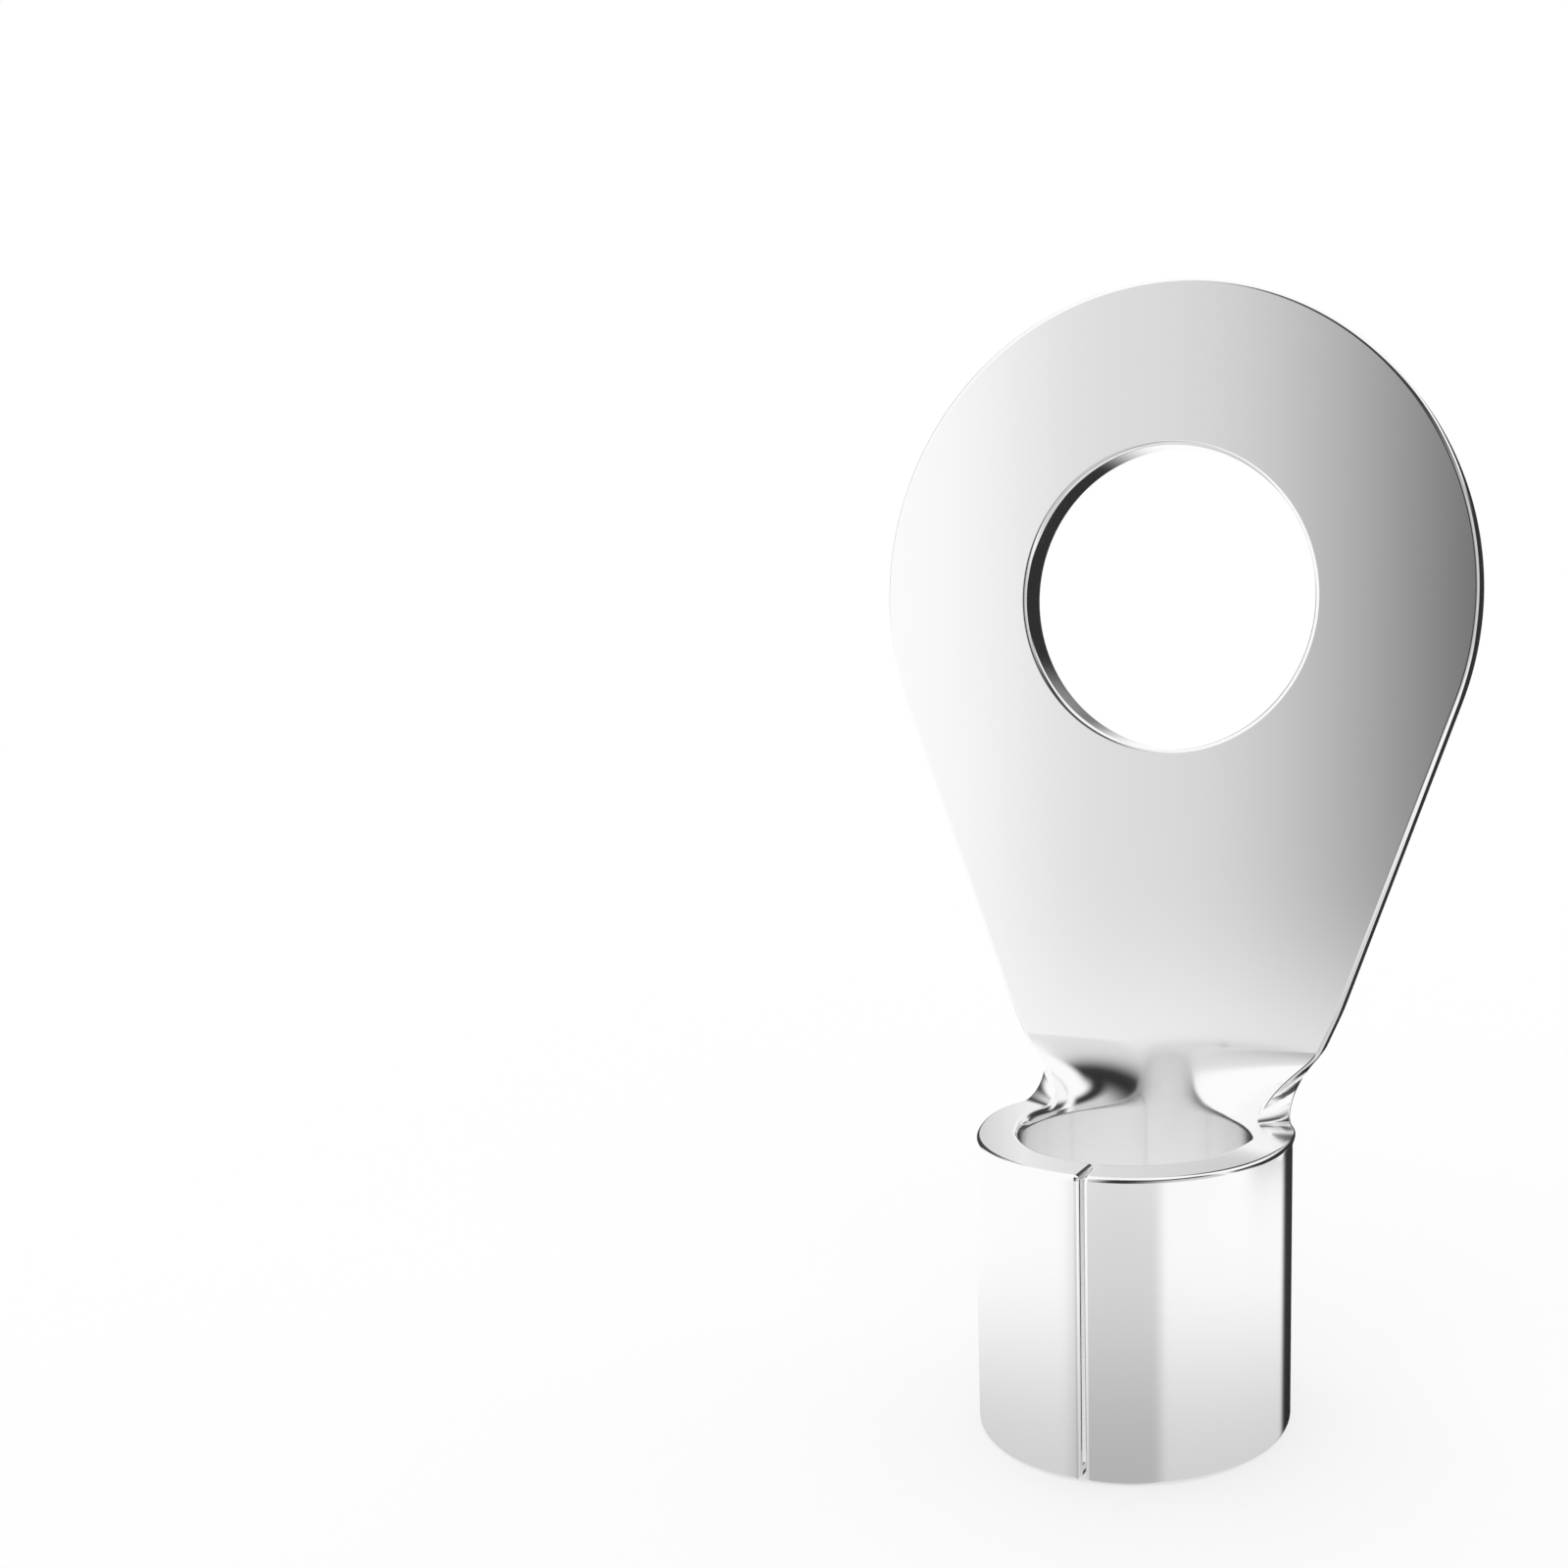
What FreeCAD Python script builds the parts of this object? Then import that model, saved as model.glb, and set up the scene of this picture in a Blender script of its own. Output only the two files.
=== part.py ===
import FreeCAD, Part

import math
import os

import Sketcher

# Ring terminal: one piece of tin-plated copper sheet. The eye and tongue are flat, the barrel is rolled into a
# tube with a butt seam, and the neck between them opens from round to flat.
# Frame: the origin is at the middle of the barrel's foot, +Z runs up the barrel to the eye, and -Y is the seam side.
# The tongue's back face is in line with the back of the barrel.

DIMENSIONS = {
    "barrel_diameter": 8.6,
    "sheet_thickness": 1.15,
    "barrel_length": 8.0,
    "seam_gap": 0.1,
    "mouth_drop": 0.3,
    "neck_height": 1.7,
    "neck_fillet": 0.86,
    "shoulder_rise": 2.75,
    "shoulder_width": 9.94,
    "shoulder_turn": 4.15,
    "shoulder_radius": 8.0,
    "eye_diameter": 17.2,
    "hole_rise": 14.35,
    "stud_hole_diameter": 8.4,
    "edge_radius": 0.13,
}

# The bent faces are cubic splines with one pole every few degrees round the barrel. The back of the barrel opens
# flat as it rises, as far round as the tongue is wide, and the front keeps its round mouth.
SPLINE_DEGREE = 3
POLE_STEP = math.radians(5.0)
FLAT_MARGIN = math.radians(15.0)
BLEND_WIDTH = math.radians(30.0)

# Faces that meet at less than this angle run on smoothly, so the edge between them isn't rounded.
SMOOTH_ANGLE = math.radians(20.0)
JOIN_TOLERANCE = 1e-4
SEW_TOLERANCE = 1e-4

doc = FreeCAD.newDocument("ring_terminal")
sheet = doc.addObject("Spreadsheet::Sheet", "Dimensions")
for row, (alias, value) in enumerate(DIMENSIONS.items(), start=1):
    sheet.set(f"A{row}", alias)
    sheet.set(f"B{row}", str(value))
    sheet.setAlias(f"B{row}", alias)
doc.recompute()


def size(alias):
    return float(getattr(sheet, alias))


outer_radius = size("barrel_diameter") / 2
inner_radius = outer_radius - size("sheet_thickness")
rim = size("barrel_length")
bend_start = rim - size("mouth_drop")
bend_end = rim + size("neck_height")
half_blank = math.pi * outer_radius - size("seam_gap") / 2

# The tongue's sides: a straight taper that touches the eye, and below the shoulder an edge that leans a little more.
eye_radius = size("eye_diameter") / 2
hole_centre = FreeCAD.Vector(0, rim + size("hole_rise"))
shoulder = FreeCAD.Vector(size("shoulder_width") / 2, rim + size("shoulder_rise"))
to_hole = hole_centre - shoulder
taper_lean = math.atan2(to_hole.x, to_hole.y) + math.asin(eye_radius / to_hole.Length)
edge_lean = taper_lean + math.radians(size("shoulder_turn"))


def along_lean(start, lean, distance):
    return start + FreeCAD.Vector(math.sin(lean), math.cos(lean)) * distance


def neck_edge_at(height):
    """Half width of the blank at this height on its straight edge below the shoulder."""
    return shoulder.x - (shoulder.y - height) * math.tan(edge_lean)


flat_limit = neck_edge_at(bend_end) / outer_radius + FLAT_MARGIN
round_limit = flat_limit + BLEND_WIDTH


def new_sketch(body, name, role):
    plane = next(item for item in body.Origin.OriginFeatures if item.Role == role)
    sketch = body.newObject("Sketcher::SketchObject", name)
    sketch.AttachmentSupport = (plane, [""])
    sketch.MapMode = "FlatFace"
    return sketch


def bind(sketch, constraint, name, formula):
    """Add a dimension to the sketch and tie it to the sheet."""
    index = sketch.addConstraint(constraint)
    sketch.renameConstraint(index, name)
    sketch.setExpression(f"Constraints.{name}", formula)


def join_ends(sketch, lines):
    for one, other in zip(lines, lines[1:] + lines[:1]):
        sketch.addConstraint(Sketcher.Constraint("Coincident", one, 2, other, 1))


# The barrel below the bend: the sheet's section, turned about the barrel's axis as far as the seam.

def make_barrel():
    body = doc.addObject("PartDesign::Body", "barrel")
    sketch = new_sketch(body, "barrel_wall", "YZ_Plane")
    corners = [FreeCAD.Vector(inner_radius, 0), FreeCAD.Vector(outer_radius, 0),
               FreeCAD.Vector(outer_radius, bend_start), FreeCAD.Vector(inner_radius, bend_start)]
    lines = [sketch.addGeometry(Part.LineSegment(a, b)) for a, b in zip(corners, corners[1:] + corners[:1])]
    foot, outside, top, bore = lines
    join_ends(sketch, lines)
    sketch.addConstraint(Sketcher.Constraint("Horizontal", foot))
    sketch.addConstraint(Sketcher.Constraint("Horizontal", top))
    sketch.addConstraint(Sketcher.Constraint("Vertical", outside))
    sketch.addConstraint(Sketcher.Constraint("Vertical", bore))
    sketch.addConstraint(Sketcher.Constraint("PointOnObject", foot, 1, -1))
    bind(sketch, Sketcher.Constraint("DistanceX", -1, 1, foot, 2, outer_radius),
         "outer_radius", "Dimensions.barrel_diameter / 2")
    bind(sketch, Sketcher.Constraint("DistanceX", foot, 1, foot, 2, size("sheet_thickness")),
         "wall", "Dimensions.sheet_thickness")
    bind(sketch, Sketcher.Constraint("DistanceY", outside, 1, outside, 2, bend_start),
         "straight_length", "Dimensions.barrel_length - Dimensions.mouth_drop")
    rolled = body.newObject("PartDesign::Revolution", "rolled_tube")
    rolled.Profile = sketch
    rolled.ReferenceAxis = (sketch, ["V_Axis"])
    rolled.Midplane = True
    rolled.setExpression("Angle", "360 - Dimensions.seam_gap / (Dimensions.barrel_diameter / 2) * 180 / pi")
    return body


# The flat tongue and eye above the bend, with the stud hole.

def make_tongue():
    body = doc.addObject("PartDesign::Body", "tongue")
    sketch = new_sketch(body, "tongue_outline", "XZ_Plane")
    sketch.setExpression("AttachmentOffset.Base.z", "-Dimensions.barrel_diameter / 2")
    upright = FreeCAD.Vector(0, 0, 1)
    round_radius = size("shoulder_radius")
    round_reach = round_radius * math.tan((edge_lean - taper_lean) / 2)
    taper_length = math.sqrt(to_hole.Length ** 2 - eye_radius ** 2)
    right = [FreeCAD.Vector(neck_edge_at(bend_end), bend_end), along_lean(shoulder, edge_lean, -round_reach),
             along_lean(shoulder, taper_lean, round_reach), along_lean(shoulder, taper_lean, taper_length)]
    left = [FreeCAD.Vector(-place.x, place.y) for place in right]
    round_centre = right[1] + FreeCAD.Vector(-math.cos(edge_lean), math.sin(edge_lean)) * round_radius
    left_round_centre = FreeCAD.Vector(-round_centre.x, round_centre.y)

    lower_right = sketch.addGeometry(Part.LineSegment(right[0], right[1]))
    round_right = sketch.addGeometry(Part.ArcOfCircle(Part.Circle(round_centre, upright, round_radius),
                                                      -edge_lean, -taper_lean))
    upper_right = sketch.addGeometry(Part.LineSegment(right[2], right[3]))
    eye = sketch.addGeometry(Part.ArcOfCircle(Part.Circle(hole_centre, upright, eye_radius),
                                              -taper_lean, math.pi + taper_lean))
    upper_left = sketch.addGeometry(Part.LineSegment(left[3], left[2]))
    round_left = sketch.addGeometry(Part.ArcOfCircle(Part.Circle(left_round_centre, upright, round_radius),
                                                     math.pi + taper_lean, math.pi + edge_lean))
    lower_left = sketch.addGeometry(Part.LineSegment(left[1], left[0]))
    root = sketch.addGeometry(Part.LineSegment(left[0], right[0]))
    stud_hole = sketch.addGeometry(Part.Circle(hole_centre, upright, size("stud_hole_diameter") / 2))
    corner_right = sketch.addGeometry(Part.Point(shoulder), True)
    corner_left = sketch.addGeometry(Part.Point(FreeCAD.Vector(-shoulder.x, shoulder.y)), True)

    sides = [lower_right, round_right, upper_right, eye, upper_left, round_left, lower_left]
    for one, other in zip(sides, sides[1:]):
        sketch.addConstraint(Sketcher.Constraint("Tangent", one, 2, other, 1))
    sketch.addConstraint(Sketcher.Constraint("Coincident", lower_left, 2, root, 1))
    sketch.addConstraint(Sketcher.Constraint("Coincident", root, 2, lower_right, 1))
    for corner, lower, upper in ((corner_right, lower_right, upper_right), (corner_left, lower_left, upper_left)):
        sketch.addConstraint(Sketcher.Constraint("PointOnObject", corner, 1, lower))
        sketch.addConstraint(Sketcher.Constraint("PointOnObject", corner, 1, upper))
    sketch.addConstraint(Sketcher.Constraint("Symmetric", root, 1, root, 2, -2))
    sketch.addConstraint(Sketcher.Constraint("Symmetric", corner_left, 1, corner_right, 1, -2))
    sketch.addConstraint(Sketcher.Constraint("Equal", round_right, round_left))
    sketch.addConstraint(Sketcher.Constraint("PointOnObject", eye, 3, -2))
    sketch.addConstraint(Sketcher.Constraint("Coincident", stud_hole, 3, eye, 3))
    bind(sketch, Sketcher.Constraint("Radius", eye, eye_radius), "eye_radius", "Dimensions.eye_diameter / 2")
    bind(sketch, Sketcher.Constraint("Radius", stud_hole, size("stud_hole_diameter") / 2),
         "stud_hole_radius", "Dimensions.stud_hole_diameter / 2")
    bind(sketch, Sketcher.Constraint("Radius", round_right, round_radius),
         "shoulder_radius", "Dimensions.shoulder_radius")
    bind(sketch, Sketcher.Constraint("DistanceY", -1, 1, eye, 3, hole_centre.y),
         "hole_height", "Dimensions.barrel_length + Dimensions.hole_rise")
    bind(sketch, Sketcher.Constraint("DistanceX", -1, 1, corner_right, 1, shoulder.x),
         "shoulder_half_width", "Dimensions.shoulder_width / 2")
    bind(sketch, Sketcher.Constraint("DistanceY", -1, 1, corner_right, 1, shoulder.y),
         "shoulder_height", "Dimensions.barrel_length + Dimensions.shoulder_rise")
    bind(sketch, Sketcher.Constraint("DistanceY", -1, 1, root, 2, bend_end),
         "root_height", "Dimensions.barrel_length + Dimensions.neck_height")
    bind(sketch, Sketcher.Constraint("Angle", lower_right, 1, upper_right, 1, edge_lean - taper_lean),
         "shoulder_turn", "Dimensions.shoulder_turn * 1 deg")
    plate = body.newObject("PartDesign::Pad", "tongue_plate")
    plate.Profile = sketch
    plate.setExpression("Length", "Dimensions.sheet_thickness")
    return body


# The neck: two bent faces, a sheet's thickness apart, that carry the same outline of the flat blank.

def bent_surface(radius):
    """The face of the sheet at this barrel radius, from the round barrel up to the flat tongue.

    Its first parameter is the length along the rolled-out sheet and its second is the height, so an outline
    drawn on the flat blank is laid on it as it is.
    """
    count = math.ceil(half_blank / outer_radius / POLE_STEP) + SPLINE_DEGREE
    pole_radius = radius * 3 / (2 + math.cos(POLE_STEP))
    rise = (bend_end - bend_start) / SPLINE_DEGREE
    heights = [bend_start + step * rise for step in range(SPLINE_DEGREE + 1)]
    poles = []
    for index in range(-count, count + 1):
        angle = index * POLE_STEP
        rolled = FreeCAD.Vector(pole_radius * math.sin(angle), pole_radius * math.cos(angle))
        flat = FreeCAD.Vector(outer_radius * angle, radius)
        opened = rolled + (flat - rolled) * share_opened(abs(angle))
        poles.append([place + FreeCAD.Vector(0, 0, height)
                      for place, height in zip((rolled, rolled, opened, opened), heights)])
    spacing = POLE_STEP * outer_radius
    knots = [(index - count - 2) * spacing for index in range(len(poles) + SPLINE_DEGREE + 1)]
    surface = Part.BSplineSurface()
    surface.buildFromPolesMultsKnots(poles, [1] * len(knots), [SPLINE_DEGREE + 1] * 2, knots,
                                     [bend_start, bend_end], False, False, SPLINE_DEGREE, SPLINE_DEGREE)
    surface.segment(-half_blank, half_blank, bend_start, bend_end)
    return surface


def share_opened(angle):
    """How far the sheet opens flat at this angle from the barrel's back: 1 at the back, 0 at the front."""
    along = min(max((angle - flat_limit) / (round_limit - flat_limit), 0.0), 1.0)
    return 1 - along * along * (3 - 2 * along)


def neck_outline():
    """The blank's outline from the bend's start up to the tongue, as curves on the rolled-out sheet."""
    fillet = size("neck_fillet")
    middle_turn = (math.pi / 2 + edge_lean) / 2
    centre_height = rim + fillet
    centre_along = neck_edge_at(centre_height) + fillet / math.cos(edge_lean)
    places = [(half_blank, bend_start), (half_blank, rim), (centre_along, rim),
              (centre_along - fillet * math.sin(middle_turn), centre_height - fillet * math.cos(middle_turn)),
              (centre_along - fillet * math.cos(edge_lean), centre_height + fillet * math.sin(edge_lean)),
              (neck_edge_at(bend_end), bend_end)]
    foot, top, start, middle, end, root = [FreeCAD.Base.Vector2d(along, height) for along, height in places]
    left = [FreeCAD.Base.Vector2d(-along, height) for along, height in places]
    left_foot, left_top, left_start, left_middle, left_end, left_root = left
    line = Part.Geom2d.Line2dSegment
    arc = Part.Geom2d.ArcOfCircle2d
    return [line(foot, top), line(top, start), arc(start, middle, end), line(end, root),
            line(root, left_root), line(left_root, left_end), arc(left_end, left_middle, left_start),
            line(left_start, left_top), line(left_top, left_foot), line(left_foot, foot)]


def make_neck():
    surfaces = [bent_surface(outer_radius), bent_surface(inner_radius)]
    edges = [[curve.toShape(surface) for curve in neck_outline()] for surface in surfaces]
    faces = [Part.Face(surface, Part.Wire(loop)) for surface, loop in zip(surfaces, edges)]
    faces += [Part.makeRuledSurface(outside, inside, 1) for outside, inside in zip(*edges)]
    skin = Part.makeCompound(faces)
    skin.sewShape(SEW_TOLERANCE)
    solid = Part.makeSolid(skin.Shells[0])
    solid.fix(JOIN_TOLERANCE, JOIN_TOLERANCE, SEW_TOLERANCE)
    neck = doc.addObject("Part::Feature", "neck")
    neck.Shape = solid
    return neck


# The whole terminal: the three stretches of one sheet, with its stamped edges rounded. The foot is sheared square.

def is_rounded(shape, edge):
    if edge.BoundBox.ZMax < size("edge_radius"):
        return False
    middle = edge.valueAt((edge.FirstParameter + edge.LastParameter) / 2)
    normals = [face.normalAt(*face.Surface.parameter(middle)) for face in shape.ancestorsOfType(edge, Part.Face)]
    return len(normals) == 2 and normals[0].getAngle(normals[1]) > SMOOTH_ANGLE


def make_terminal():
    stretches = [make_barrel(), make_neck(), make_tongue()]
    doc.recompute()
    formed = doc.addObject("Part::Feature", "formed_sheet")
    formed.Shape = stretches[0].Shape.fuse([item.Shape for item in stretches[1:]],
                                           JOIN_TOLERANCE).removeSplitter().Solids[0]
    terminal = doc.addObject("Part::Fillet", "ring_terminal")
    terminal.Base = formed
    radius = size("edge_radius")
    terminal.Edges = [(number, radius, radius) for number, edge in enumerate(formed.Shape.Edges, start=1)
                      if is_rounded(formed.Shape, edge)]
    doc.recompute()
    return terminal


def check(item):
    if {"Invalid", "Error"} & set(item.State):
        raise RuntimeError(f"{item.Label} failed: {item.State}")


terminal = make_terminal()
for item in doc.Objects:
    check(item)
if terminal.Shape.isNull() or not terminal.Shape.isValid():
    raise RuntimeError("ring_terminal has no valid shape")

os.makedirs("parts", exist_ok=True)
terminal.Shape.exportStep(f"parts/{terminal.Label}.step")
print(f"{terminal.Label}: {len(terminal.Shape.Solids)} solid, {terminal.Shape.Volume:.1f} mm3,"
      f" {terminal.Shape.BoundBox}, centre {terminal.Shape.Solids[0].CenterOfMass}")
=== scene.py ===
import math

import bmesh
import bpy
import numpy as np
from mathutils import Matrix, Vector
from mathutils.geometry import delaunay_2d_cdt


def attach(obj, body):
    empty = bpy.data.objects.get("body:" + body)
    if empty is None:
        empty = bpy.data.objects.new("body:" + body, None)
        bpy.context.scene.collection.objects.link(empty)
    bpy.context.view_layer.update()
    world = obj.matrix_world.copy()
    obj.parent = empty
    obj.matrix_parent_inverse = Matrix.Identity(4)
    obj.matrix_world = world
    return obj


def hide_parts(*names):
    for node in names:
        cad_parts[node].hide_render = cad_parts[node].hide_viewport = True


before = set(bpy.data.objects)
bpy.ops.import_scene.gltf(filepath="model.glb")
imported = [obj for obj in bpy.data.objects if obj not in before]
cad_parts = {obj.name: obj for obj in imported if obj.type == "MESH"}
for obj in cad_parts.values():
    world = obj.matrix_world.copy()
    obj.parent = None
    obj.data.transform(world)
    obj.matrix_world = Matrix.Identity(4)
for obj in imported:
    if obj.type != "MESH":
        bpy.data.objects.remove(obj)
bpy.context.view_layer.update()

MM = 0.001

# The blank's sizes, in millimetres, as in the part's source.
BARREL_RADIUS = 4.3
THICKNESS = 1.15
RIM = 8.0
SEAM_GAP = 0.1
BEND_START = RIM - 0.3
BEND_END = RIM + 1.7
NECK_FILLET = 0.86
SHOULDER = np.array([4.97, RIM + 2.75])
SHOULDER_TURN = math.radians(4.15)
SHOULDER_RADIUS = 8.0
EYE_RADIUS = 8.6
HOLE_CENTRE = np.array([0.0, RIM + 14.35])
HOLE_RADIUS = 4.2
FLAT_MARGIN = math.radians(15.0)
BLEND_WIDTH = math.radians(30.0)

EDGE_RADIUS = 0.13
CORNER_RADIUS = 0.15
OUTLINE_STEP = 0.12
ARC_STEP = math.radians(6.0)
ROUND_STEPS = 6

HALF_BLANK = math.pi * BARREL_RADIUS - SEAM_GAP / 2
TO_HOLE = HOLE_CENTRE - SHOULDER
TAPER_LEAN = math.atan2(TO_HOLE[0], TO_HOLE[1]) + math.asin(EYE_RADIUS / math.hypot(*TO_HOLE))
EDGE_LEAN = TAPER_LEAN + SHOULDER_TURN


def neck_edge_at(height):
    return SHOULDER[0] - (SHOULDER[1] - height) * math.tan(EDGE_LEAN)


FLAT_LIMIT = neck_edge_at(BEND_END) / BARREL_RADIUS + FLAT_MARGIN


def smooth_step(share):
    share = np.clip(share, 0.0, 1.0)
    return share * share * (3 - 2 * share)


def formed(blank):
    """Where a point of the blank (along, height, depth from the outside) lies on the formed terminal."""
    along, height, depth = blank[..., 0], blank[..., 1], blank[..., 2]
    angle = along / BARREL_RADIUS
    radius = BARREL_RADIUS - depth
    opened = smooth_step((height - BEND_START) / (BEND_END - BEND_START))
    opened = opened * (1 - smooth_step((np.abs(angle) - FLAT_LIMIT) / BLEND_WIDTH))
    opened = np.where(height < BEND_END, opened, 1.0)
    x = radius * np.sin(angle)
    y = radius * np.cos(angle)
    return np.stack([x + opened * (along - x), y + opened * (radius - y), height], axis=-1)


def formed_normals(blank, blank_normals):
    """Normals on the formed terminal, from normals on the blank."""
    step = 1e-4
    columns = []
    for axis in range(3):
        shift = np.zeros(3)
        shift[axis] = step
        columns.append((formed(blank + shift) - formed(blank - shift)) / (2 * step))
    jacobian = np.stack(columns, axis=-1)
    inverse = np.linalg.inv(jacobian)
    normals = np.einsum("nji,nj->ni", inverse, blank_normals)
    return normals / np.linalg.norm(normals, axis=1, keepdims=True)


def line(start, end):
    start, end = np.array(start, float), np.array(end, float)
    length = math.hypot(*(end - start))
    count = max(1, round(length / OUTLINE_STEP))
    shares = np.arange(count)[:, None] / count
    direction = (end - start) / length
    normal = np.array([direction[1], -direction[0]])
    return start + shares * (end - start), np.repeat(normal[None], count, axis=0)


def arc(centre, radius, start, end, outward=1):
    """Points on an arc, with the normals that point away from the sheet: outward is -1 where its hollow faces out."""
    count = max(2, math.ceil(max(abs(end - start) / ARC_STEP, radius * abs(end - start) / OUTLINE_STEP)))
    angles = start + (end - start) * np.arange(count) / count
    rays = np.stack([np.cos(angles), np.sin(angles)], axis=1)
    return np.array(centre) + radius * rays, outward * rays


def along_lean(start, lean, distance):
    return start + distance * np.array([math.sin(lean), math.cos(lean)])


def right_side():
    """The blank's right half, from the middle of the foot round to the top of the eye, anticlockwise."""
    corner = CORNER_RADIUS
    fillet = NECK_FILLET
    fillet_height = RIM + fillet
    fillet_along = neck_edge_at(fillet_height) + fillet / math.cos(EDGE_LEAN)
    fillet_end = np.array([fillet_along - fillet * math.cos(EDGE_LEAN), fillet_height + fillet * math.sin(EDGE_LEAN)])
    reach = SHOULDER_RADIUS * math.tan(SHOULDER_TURN / 2)
    lower = along_lean(SHOULDER, EDGE_LEAN, -reach)
    upper = along_lean(SHOULDER, TAPER_LEAN, reach)
    touch = along_lean(SHOULDER, TAPER_LEAN, math.sqrt(TO_HOLE @ TO_HOLE - EYE_RADIUS ** 2))
    round_centre = lower + SHOULDER_RADIUS * np.array([-math.cos(EDGE_LEAN), math.sin(EDGE_LEAN)])
    quarter = math.pi / 2
    return [
        line((0, 0), (HALF_BLANK - corner, 0)),
        arc((HALF_BLANK - corner, corner), corner, -quarter, 0),
        line((HALF_BLANK, corner), (HALF_BLANK, RIM - corner)),
        arc((HALF_BLANK - corner, RIM - corner), corner, 0, quarter),
        line((HALF_BLANK - corner, RIM), (fillet_along, RIM)),
        arc((fillet_along, fillet_height), fillet, -quarter, -math.pi - EDGE_LEAN, outward=-1),
        line(fillet_end, lower),
        arc(round_centre, SHOULDER_RADIUS, -EDGE_LEAN, -TAPER_LEAN),
        line(upper, touch),
        arc(HOLE_CENTRE, EYE_RADIUS, -TAPER_LEAN, quarter),
    ]


def whole_outline():
    points = np.concatenate([piece[0] for piece in right_side()])
    normals = np.concatenate([piece[1] for piece in right_side()])
    top = HOLE_CENTRE + np.array([0, EYE_RADIUS])
    left_points = points[:0:-1] * [-1, 1]
    left_normals = normals[:0:-1] * [-1, 1]
    return (np.concatenate([points, top[None], left_points]),
            np.concatenate([normals, [[0.0, 1.0]], left_normals]))


def hole_outline():
    points, rays = arc(HOLE_CENTRE, HOLE_RADIUS, 2 * math.pi, 0)
    return points, -rays


def edge_profile():
    """Across a stamped edge, from the outside face to the inside one: inset, depth and the normal's two parts."""
    turns = np.linspace(0, math.pi / 2, ROUND_STEPS + 1)
    outer = [(EDGE_RADIUS * (1 - math.sin(t)), EDGE_RADIUS * (1 - math.cos(t)), math.sin(t), -math.cos(t))
             for t in turns]
    inner = [(inset, THICKNESS - depth, out, -down) for inset, depth, out, down in reversed(outer)]
    return np.array(outer + inner)


def inside(points, loop):
    x, y = points[:, 0], points[:, 1]
    x0, y0 = loop[:, 0], loop[:, 1]
    x1, y1 = np.roll(x0, -1), np.roll(y0, -1)
    crosses = (y0[None] > y[:, None]) != (y1[None] > y[:, None])
    with np.errstate(divide="ignore", invalid="ignore"):
        at = x0[None] + (y[:, None] - y0[None]) * (x1 - x0)[None] / (y1 - y0)[None]
    return (crosses & (x[:, None] < at)).sum(axis=1) % 2 == 1


def face_grid(loops):
    """Points inside the blank's face: close together where the sheet is bent, sparse where it is flat."""
    rows = []
    for height in np.arange(0.6, BEND_START - 0.1, 0.8):
        rows += [(along, height) for along in np.arange(-HALF_BLANK + 0.2, HALF_BLANK - 0.1, 0.16)]
    for height in np.arange(BEND_START, BEND_END + 0.01, 0.08):
        rows += [(along, height) for along in np.arange(-HALF_BLANK + 0.2, HALF_BLANK - 0.1, 0.12)]
    for height in np.arange(BEND_END + 0.4, HOLE_CENTRE[1] + EYE_RADIUS, 0.8):
        rows += [(along, height) for along in np.arange(-EYE_RADIUS, EYE_RADIUS, 0.8)]
    points = np.array(rows)
    keep = inside(points, loops[0]) & ~inside(points, loops[1])
    points = points[keep]
    ring = np.concatenate(loops)
    gaps = np.array([np.min(np.hypot(*(ring - point).T)) for point in points])
    return points[gaps > 0.07]


def face_triangles(loops, grid):
    points = np.concatenate([*loops, grid])
    edges = []
    start = 0
    for loop in loops:
        count = len(loop)
        edges += [(start + i, start + (i + 1) % count) for i in range(count)]
        start += count
    made = delaunay_2d_cdt([Vector(point) for point in points], edges, [], 0, 1e-6)
    places, faces, originals = made[0], made[2], made[3]
    back = [found[0] if found else -1 for found in originals]
    triangles = np.array([[back[i] for i in face] for face in faces])
    if (triangles < 0).any() or len(places) != len(points):
        raise RuntimeError("the face's outline crosses itself")
    centres = points[triangles].mean(axis=1)
    keep = inside(centres, loops[0]) & ~inside(centres, loops[1])
    return triangles[keep]


def terminal_mesh():
    profile = edge_profile()
    rims = [whole_outline(), hole_outline()]
    loops = [points - EDGE_RADIUS * normals for points, normals in rims]
    grid = face_grid(loops)
    triangles = face_triangles(loops, grid)
    blank, normals, faces = [], [], []
    ring_starts = []
    count = 0
    for points, outs in rims:
        starts = []
        for inset, depth, out, down in profile:
            starts.append(count)
            count += len(points)
            blank.append(np.column_stack([points - inset * outs, np.full(len(points), depth)]))
            normals.append(np.column_stack([out * outs, np.full(len(points), down)]))
        ring_starts.append(starts)
        size = len(points)
        after = (np.arange(size) + 1) % size
        for one, other in zip(starts, starts[1:]):
            quads = np.column_stack([one + np.arange(size), one + after, other + after, other + np.arange(size)])
            faces += quads.tolist()
    for side, depth, down in ((0, 0.0, -1.0), (-1, THICKNESS, 1.0)):
        grid_start = count
        count += len(grid)
        blank.append(np.column_stack([grid, np.full(len(grid), depth)]))
        normals.append(np.tile([0.0, 0.0, down], (len(grid), 1)))
        first, second = len(loops[0]), len(loops[1])
        index = np.concatenate([ring_starts[0][side] + np.arange(first), ring_starts[1][side] + np.arange(second),
                                grid_start + np.arange(len(grid))])
        made = index[triangles]
        faces += (made[:, ::-1] if side == 0 else made).tolist()
    blank = np.concatenate(blank)
    normals = formed_normals(blank, np.concatenate(normals))
    places = formed(blank) * MM
    mesh = bpy.data.meshes.new("terminal_sheet")
    mesh.from_pydata(places.tolist(), [], faces)
    mesh.validate()
    mesh.shade_smooth()
    mesh.normals_split_custom_set_from_vertices(normals.tolist())
    return mesh


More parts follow.
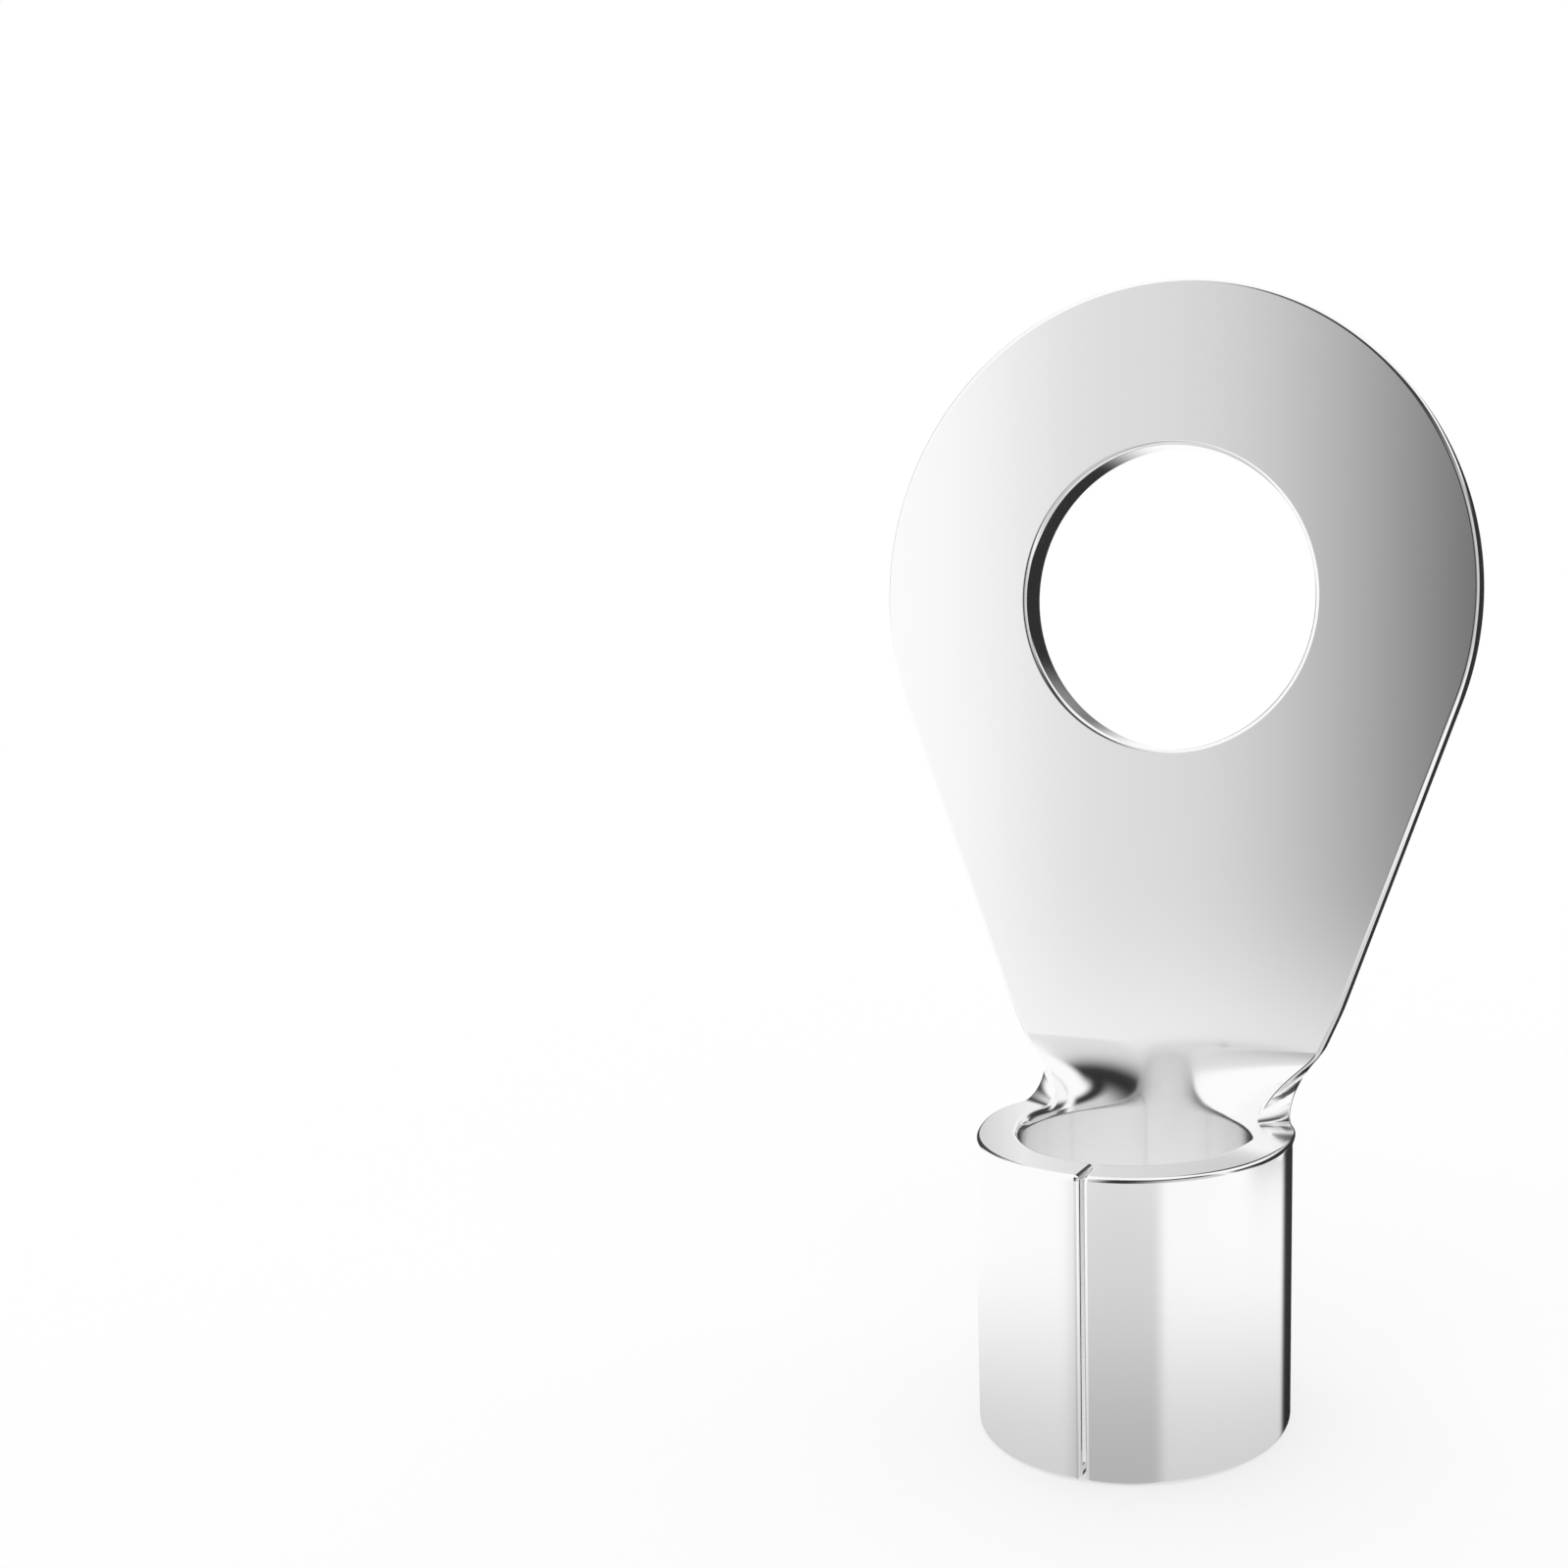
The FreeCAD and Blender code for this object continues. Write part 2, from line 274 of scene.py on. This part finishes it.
def main():
    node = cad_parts["ring_terminal"]
    terminal = bpy.data.objects.new("terminal_sheet", terminal_mesh())
    bpy.context.scene.collection.objects.link(terminal)
    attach(terminal, "root")
    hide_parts("ring_terminal")
    return terminal


terminal = main()


def tin_plate():
    material = bpy.data.materials.new("tin_plate")
    material.use_nodes = True
    shader = material.node_tree.nodes["Principled BSDF"]
    shader.inputs["Base Color"].default_value = (0.97, 0.97, 0.97, 1)
    shader.inputs["Metallic"].default_value = 1.0
    shader.inputs["Roughness"].default_value = 0.12
    return material


terminal.data.materials.append(tin_plate())


# The camera, as it stood for the photograph. Distances are in millimetres and angles in degrees.
def photo_camera():
    azimuth = math.radians(18.002)
    tilt = math.radians(7.366)
    roll = math.radians(-0.259)
    distance, height = 41.056, 20.025
    ahead = Vector((-math.sin(azimuth), math.cos(azimuth), 0))
    right = Vector((math.cos(azimuth), math.sin(azimuth), 0))
    up = Vector((0, 0, 1))
    forward = ahead * math.cos(tilt) - up * math.sin(tilt)
    above = up * math.cos(tilt) + ahead * math.sin(tilt)
    side = right * math.cos(roll) + above * math.sin(roll)
    above = above * math.cos(roll) - right * math.sin(roll)
    data = bpy.data.cameras.new("photo_camera")
    data.sensor_width = 36
    data.lens = 35.678
    data.shift_x = -0.22244
    data.shift_y = 0.06375
    data.clip_start = 0.001
    data.clip_end = 10
    camera = bpy.data.objects.new("photo_camera", data)
    bpy.context.scene.collection.objects.link(camera)
    turn = Matrix((side, above, -forward)).transposed()
    place = Vector((distance * math.sin(azimuth), -distance * math.cos(azimuth), height)) * MM
    camera.matrix_world = Matrix.Translation(place) @ turn.to_4x4()
    bpy.context.scene.camera = camera


photo_camera()


# The floor is white, with the faint shadow that the terminal leaves round its foot. The disc inside the barrel is
# the only floor that the metal mirrors: outside, the tent stands for it. The disc glows almost white over a dark
# diffuse colour: painted light, which keeps the floor inside the barrel bright where the barrel would shade it.
FLOOR_RADIUS = 600
BORE_FLOOR_RADIUS = 3.3


def floor_material(name, diffuse, glow):
    material = bpy.data.materials.new(name)
    material.use_nodes = True
    shader = material.node_tree.nodes["Principled BSDF"]
    shader.inputs["Base Color"].default_value = (diffuse, diffuse, diffuse, 1)
    shader.inputs["Roughness"].default_value = 1.0
    shader.inputs["Specular IOR Level"].default_value = 0.0
    shader.inputs["Emission Color"].default_value = (1, 1, 1, 1)
    shader.inputs["Emission Strength"].default_value = glow
    return material


def floor_ring(name, inner, outer, material):
    steps = 96
    turns = [2 * math.pi * step / steps for step in range(steps)]
    places = [(radius * math.cos(turn) * MM, radius * math.sin(turn) * MM, 0)
              for radius in (inner, outer) for turn in turns]
    faces = [(step, steps + step, steps + (step + 1) % steps, (step + 1) % steps) for step in range(steps)]
    mesh = bpy.data.meshes.new(name)
    mesh.from_pydata(places, [], faces)
    mesh.materials.append(material)
    ring = bpy.data.objects.new(name, mesh)
    bpy.context.scene.collection.objects.link(ring)
    return ring


def stage_floor():
    # Painted light: the disc in the barrel glows at 0.85 over a diffuse colour of 0.1, so the barrel's shade hardly
    # darkens it.
    floor_ring("bore_floor_painted_light", 0.001, BORE_FLOOR_RADIUS, floor_material("bore_floor_painted_light", 0.1, 0.85))
    outside = floor_ring("floor", BORE_FLOOR_RADIUS, FLOOR_RADIUS, floor_material("floor", 0.5, 0.5))
    outside.visible_glossy = False


stage_floor()


# A white light tent with dark flags in it, which only the metal mirrors. Directions are in degrees: bearing 0 is
# the seam side and 90 is +X, and elevation is above the floor.
TENT_RADIUS = 250


def ramp(value, start, end):
    """0 before start, 1 after end, or the other way round where end comes before start."""
    share = np.clip((value - start) / (end - start), 0, 1)
    return share * share * (3 - 2 * share)


def tent_light(bearing, elevation):
    behind = np.where(bearing < 0, bearing + 360, bearing)
    # The lower half stands for the floor as the metal mirrors it. It is darker from 19 to 28 degrees below the
    # horizon: a painted shadow of the floor round the foot.
    floor = 1 - 0.37 * ramp(elevation, -19, -28) + 0.14 * ramp(elevation, -32, -60)
    floor *= 1 - 0.30 * ramp(elevation, -12, -18) * ramp(bearing, -36, -16) * ramp(bearing, 42, 30)
    light = floor
    left = 0.27 * ramp(bearing, -28, -19) + 0.70 * ramp(bearing, -18, 2)
    right = ramp(bearing, 88, 78) * (1 - ramp(elevation, 48, 62) * ramp(bearing, 10, 50))
    right *= 1 - 0.6 * ramp(bearing, 10, 50) * ramp(elevation, 42, 24)
    light = light * (1 - ramp(elevation, -17, -4) * left * ramp(elevation, 72, 58) * right)
    back = ramp(behind, 148, 158) + (1 - ramp(behind, 148, 158)) * ramp(elevation, -17, -12) * ramp(behind, 96, 120)
    back *= ramp(behind, 196, 184) * ramp(elevation, -36, -28) * ramp(elevation, 34, 20)
    light = light * (1 - 0.97 * back)
    left_back = ramp(behind, 200, 212) * ramp(behind, 246, 236) * ramp(elevation, 2, 10) * ramp(elevation, 42, 34)
    light = light * (1 - 0.95 * left_back)
    right_side = ramp(bearing, 86, 94) * ramp(bearing, 126, 116) * ramp(elevation, -6, 0) * ramp(elevation, 34, 28)
    return light * (1 - 0.9 * right_side)


def stage_tent():
    rows, columns = 120, 240
    elevation = np.repeat(np.linspace(-90, 90, rows + 1), columns)
    bearing = np.tile(np.linspace(-180, 180, columns, endpoint=False), rows + 1)
    up, turn = np.radians(elevation), np.radians(bearing)
    places = np.column_stack([np.sin(turn) * np.cos(up), -np.cos(turn) * np.cos(up), np.sin(up)]) * TENT_RADIUS * MM
    faces = []
    for row in range(rows):
        for column in range(columns):
            after = (column + 1) % columns
            low, high = row * columns, (row + 1) * columns
            faces.append((low + column, high + column, high + after, low + after))
    mesh = bpy.data.meshes.new("light_tent")
    mesh.from_pydata(places.tolist(), [], faces)
    light = tent_light(bearing, elevation)
    shade = mesh.attributes.new("light", "FLOAT", "POINT")
    shade.data.foreach_set("value", light)
    material = bpy.data.materials.new("light_tent")
    material.use_nodes = True
    nodes, links = material.node_tree.nodes, material.node_tree.links
    nodes.clear()
    attribute = nodes.new("ShaderNodeAttribute")
    attribute.attribute_name = "light"
    emission = nodes.new("ShaderNodeEmission")
    output = nodes.new("ShaderNodeOutputMaterial")
    links.new(attribute.outputs["Fac"], emission.inputs["Strength"])
    links.new(emission.outputs["Emission"], output.inputs["Surface"])
    material.cycles.emission_sampling = "NONE"
    mesh.materials.append(material)
    tent = bpy.data.objects.new("light_tent", mesh)
    bpy.context.scene.collection.objects.link(tent)
    tent.visible_camera = False
    tent.visible_diffuse = False
    tent.visible_shadow = False


stage_tent()


def stage_world():
    world = bpy.data.worlds.new("studio")
    world.use_nodes = True
    bpy.context.scene.world = world
    background = world.node_tree.nodes["Background"]
    background.inputs["Color"].default_value = (1, 1, 1, 1)
    background.inputs["Strength"].default_value = 1.0


stage_world()
bpy.context.scene.view_settings.view_transform = "Standard"
bpy.context.scene.cycles.glossy_bounces = 12
